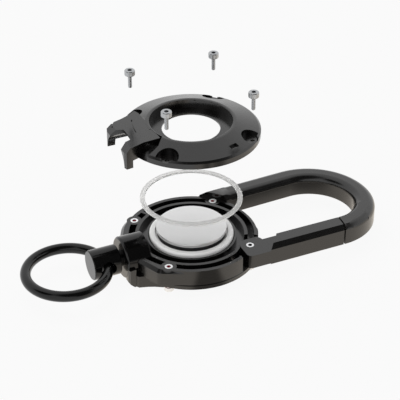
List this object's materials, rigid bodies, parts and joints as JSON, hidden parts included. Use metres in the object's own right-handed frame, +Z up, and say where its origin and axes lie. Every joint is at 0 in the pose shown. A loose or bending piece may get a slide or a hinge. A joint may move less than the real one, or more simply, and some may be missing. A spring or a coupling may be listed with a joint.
{
  "type": "tracker tag holder",
  "caption": "Round screwed case for a tracker tag that runs out into a snap hook, with a swivel eye and key ring; cover, seal and screws shown lifted off.",
  "frame": {"origin": "on the floor below the middle of the part's length, in its plane of width symmetry", "axes": "+X along the part's length towards the hook's bend, +Y towards the hook's fixed spine, +Z up along the tag's axis, out of the screwed cover"},
  "size_m": [0.1424, 0.0504, 0.0766],
  "materials": {
    "black_nylon": "satin black, glass-filled nylon",
    "black_plated_metal": "satin black plating",
    "stainless_steel": "bright stainless",
    "nickel_steel": "nickel plated",
    "spring_steel": "bright spring steel",
    "clear_silicone": "translucent silicone",
    "white_plastic": "gloss white",
    "polished_steel": "polished stainless",
    "dark_plastic": "matt black",
    "cell_steel": "nickel-plated cell can",
    "board_green": "green solder mask",
    "sounder_metal": "plain metal",
    "contact_brass": "spring brass"
  },
  "bodies": {
    "frame": {"frame": "black_nylon", "bottom_cover": "black_nylon", "swivel_barrel": "black_plated_metal", "sleeve_nuts": "nickel_steel", "gate_pivot": "nickel_steel", "gate_spring": "spring_steel"},
    "tag": {"tag_shell": "white_plastic", "tag_battery_lid": "polished_steel", "tag_carrier": "dark_plastic", "coin_cell": "cell_steel", "tag_board": "board_green", "tag_sounder": "sounder_metal", "battery_contacts": "contact_brass"},
    "cover": {"top_cover": "black_nylon"},
    "seal": {"seal_ring": "clear_silicone"},
    "screws": {"cover_screws": "stainless_steel"},
    "gate": {"gate": "black_nylon"},
    "swivel": {"swivel_eye": "black_plated_metal", "swivel_washer": "spring_steel"},
    "ring": {"key_ring": "black_plated_metal"}
  },
  "joints": [
    {"name": "cover_close", "type": "slide", "parent": "frame", "child": "cover", "axis": [0, 0, -1], "range_m": [0, 0.0432]},
    {"name": "seal_follow", "type": "slide", "parent": "frame", "child": "seal", "axis": [0, 0, -1], "range_m": [0, 0.01804]},
    {"name": "tag_follow", "type": "slide", "parent": "frame", "child": "tag", "axis": [0, 0, -1], "range_m": [0, 0.00201]},
    {"name": "screws_drive", "type": "slide", "parent": "cover", "child": "screws", "axis": [0, 0, -1], "range_m": [0, 0.01753]},
    {"name": "gate_swing", "type": "hinge", "parent": "frame", "child": "gate", "pos_m": [0.01232, -0.0165, 0.009], "axis": [0, 0, 1], "range_deg": [0, 24], "stiffness_Nm_per_rad": 0.03, "springref_deg": -28.65, "deforming": ["gate_spring"]},
    {"name": "swivel_turn", "type": "hinge", "parent": "frame", "child": "swivel", "pos_m": [-0.03418, 0, 0.00885], "axis": [1, 0, 0], "continuous": true},
    {"name": "ring_swing", "type": "hinge", "parent": "swivel", "child": "ring", "pos_m": [-0.03968, 0, 0.00885], "axis": [0, 1, 0], "range_deg": [-90, 90]}
  ],
  "couplings": [
    {"joint": "seal_follow", "follows": "cover_close", "ratio": 0.41736},
    {"joint": "tag_follow", "follows": "cover_close", "ratio": 0.046296}
  ]
}
